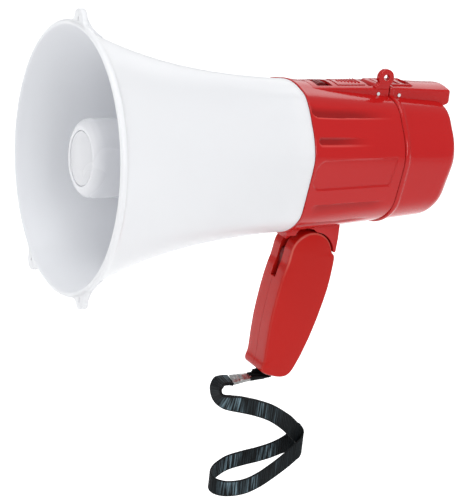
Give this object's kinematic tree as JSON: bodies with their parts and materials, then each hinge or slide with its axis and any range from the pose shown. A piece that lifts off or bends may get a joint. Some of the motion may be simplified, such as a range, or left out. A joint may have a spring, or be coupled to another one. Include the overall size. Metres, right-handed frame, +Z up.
{
  "type": "handheld megaphone",
  "caption": "Pistol-grip hand megaphone: flared bell with a folded throat, battery body with a latched rear cap, folding grip with a trigger and a wrist strap.",
  "frame": {"origin": "middle of the hand grip, on its centre plane, where a fist closes round it", "axes": "+Z up, the bell faces -Y along the horn axis, +X to the side of the strap eyelet"},
  "size_m": [0.205, 0.3175, 0.3911],
  "materials": {
    "white_abs": "glossy moulded",
    "red_abs": "glossy moulded",
    "dark_red_abs": "satin moulded",
    "black_plastic": "satin",
    "black_rubber": "matt",
    "bright_steel": "nickel plated",
    "spring_steel": "plain",
    "ferrite": "matt",
    "phenolic_film": "satin",
    "glass_epoxy": "satin",
    "aluminium": "satin",
    "copper_wire": "satin",
    "cell_jacket": "satin printed",
    "open_foam": "matt",
    "black_nylon": "woven"
  },
  "bodies": {
    "head": {"horn_bell": "white_abs", "reflector_cup": "white_abs", "reflector_badge": "white_abs", "throat_tube": "white_abs", "body_shell": "red_abs", "control_plate": "red_abs", "strap_eyelet": "red_abs", "grip_bracket": "red_abs", "driver_cap": "black_plastic", "filter_capacitor": "black_plastic", "volume_pot": "black_plastic", "battery_holder": "black_plastic", "seal_ring": "black_rubber", "top_plate": "bright_steel", "magnet_yoke": "bright_steel", "latch_pin": "bright_steel", "wheel_axle": "bright_steel", "bracket_screw_left": "bright_steel", "bracket_screw_right": "bright_steel", "contact_ring_front": "spring_steel", "contact_ring_rear": "spring_steel", "ring_magnet": "ferrite", "diaphragm": "phenolic_film", "amplifier_board": "glass_epoxy", "heat_sink": "aluminium", "output_transformer": "copper_wire", "cell_1": "cell_jacket", "cell_2": "cell_jacket", "cell_3": "cell_jacket", "cell_4": "cell_jacket", "cell_5": "cell_jacket", "cell_6": "cell_jacket"},
    "grip": {"grip_left": "red_abs", "grip_right": "red_abs", "grip_screw_upper": "bright_steel", "grip_screw_lower": "bright_steel", "hinge_pin": "bright_steel", "trigger_pin": "bright_steel", "trigger_spring": "spring_steel", "trigger_switch": "black_plastic", "lanyard_bar": "bright_steel", "strap_tape": "black_nylon", "strap_crimp": "bright_steel", "strap_stem": "black_nylon", "strap_loop": "black_nylon"},
    "trigger": {"trigger": "dark_red_abs"},
    "wheel": {"volume_wheel": "black_plastic"},
    "latch": {"latch_lever": "red_abs"},
    "cap": {"rear_cap": "red_abs", "catch_pin": "bright_steel", "mic_grille": "black_plastic", "mic_foam": "open_foam", "mic_capsule": "aluminium"},
    "switch_knob": {"mode_switch": "black_plastic"}
  },
  "joints": [
    {"name": "grip_fold", "type": "hinge", "parent": "head", "child": "grip", "pos_m": [0, 0.0105, 0.0422], "axis": [-1, 0, 0], "range_deg": [0, 55]},
    {"name": "trigger_pull", "type": "hinge", "parent": "grip", "child": "trigger", "pos_m": [0, -0.0045, 0.041], "axis": [1, 0, 0], "range_deg": [0, 7], "stiffness_Nm_per_rad": 0.6, "springref_deg": -8.59},
    {"name": "volume_turn", "type": "hinge", "parent": "head", "child": "wheel", "pos_m": [0, 0.0067, 0.1732], "axis": [1, 0, 0], "range_deg": [0, 280]},
    {"name": "latch_open", "type": "hinge", "parent": "head", "child": "latch", "pos_m": [0, 0.052, 0.1726], "axis": [1, 0, 0], "range_deg": [0, 70]},
    {"name": "cap_off", "type": "slide", "parent": "head", "child": "cap", "axis": [0, 1, 0], "range_m": [0, 0.07]},
    {"name": "mode_slide", "type": "slide", "parent": "cap", "child": "switch_knob", "axis": [1, 0, 0], "range_m": [-0.003, 0.005]}
  ]
}
